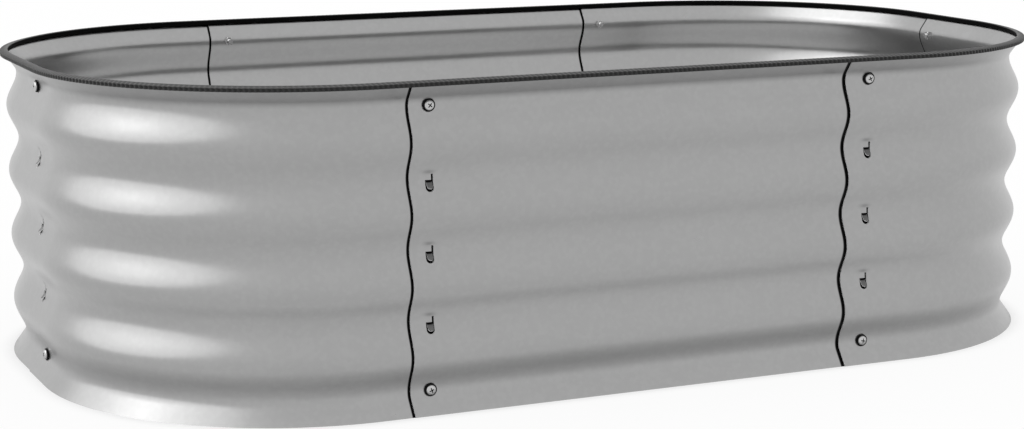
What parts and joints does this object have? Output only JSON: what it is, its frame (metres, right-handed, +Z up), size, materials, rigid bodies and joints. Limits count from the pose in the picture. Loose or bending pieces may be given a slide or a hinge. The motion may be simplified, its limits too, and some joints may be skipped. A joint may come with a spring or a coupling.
{
  "type": "raised garden bed",
  "caption": "Long rounded raised garden bed: a bottomless ring of corrugated galvanised panels, lapped, hooked and bolted at the seams, with a ribbed black rubber edge trim.",
  "frame": {"origin": "middle of the ground footprint, on the ground plane", "axes": "+X along the length, +Y across towards the back long side, +Z up"},
  "size_m": [1.0408, 0.6008, 0.3],
  "materials": {
    "galvanised_sheet": "galvanised, satin",
    "trim_rubber": "ribbed, matt",
    "washer_rubber": "matt",
    "zinc_plate": "bright zinc plated"
  },
  "bodies": {
    "root": {"front_panel": "galvanised_sheet", "front_right_corner": "galvanised_sheet", "back_right_corner": "galvanised_sheet", "back_panel": "galvanised_sheet", "back_left_corner": "galvanised_sheet", "front_left_corner": "galvanised_sheet", "edge_trim": "trim_rubber", "bolt_front_left_bottom": "zinc_plate", "bolt_front_left_top": "zinc_plate", "bolt_front_right_bottom": "zinc_plate", "bolt_front_right_top": "zinc_plate", "bolt_right_end_bottom": "zinc_plate", "bolt_right_end_top": "zinc_plate", "bolt_back_right_bottom": "zinc_plate", "bolt_back_right_top": "zinc_plate", "bolt_back_left_bottom": "zinc_plate", "bolt_back_left_top": "zinc_plate", "bolt_left_end_bottom": "zinc_plate", "bolt_left_end_top": "zinc_plate", "washer_front_left_bottom": "washer_rubber", "washer_front_left_top": "washer_rubber", "washer_front_right_bottom": "washer_rubber", "washer_front_right_top": "washer_rubber", "washer_right_end_bottom": "washer_rubber", "washer_right_end_top": "washer_rubber", "washer_back_right_bottom": "washer_rubber", "washer_back_right_top": "washer_rubber", "washer_back_left_bottom": "washer_rubber", "washer_back_left_top": "washer_rubber", "washer_left_end_bottom": "washer_rubber", "washer_left_end_top": "washer_rubber", "nut_front_left_bottom": "zinc_plate", "nut_front_left_top": "zinc_plate", "nut_front_right_bottom": "zinc_plate", "nut_front_right_top": "zinc_plate", "nut_right_end_bottom": "zinc_plate", "nut_right_end_top": "zinc_plate", "nut_back_right_bottom": "zinc_plate", "nut_back_right_top": "zinc_plate", "nut_back_left_bottom": "zinc_plate", "nut_back_left_top": "zinc_plate", "nut_left_end_bottom": "zinc_plate", "nut_left_end_top": "zinc_plate"}
  },
  "joints": []
}
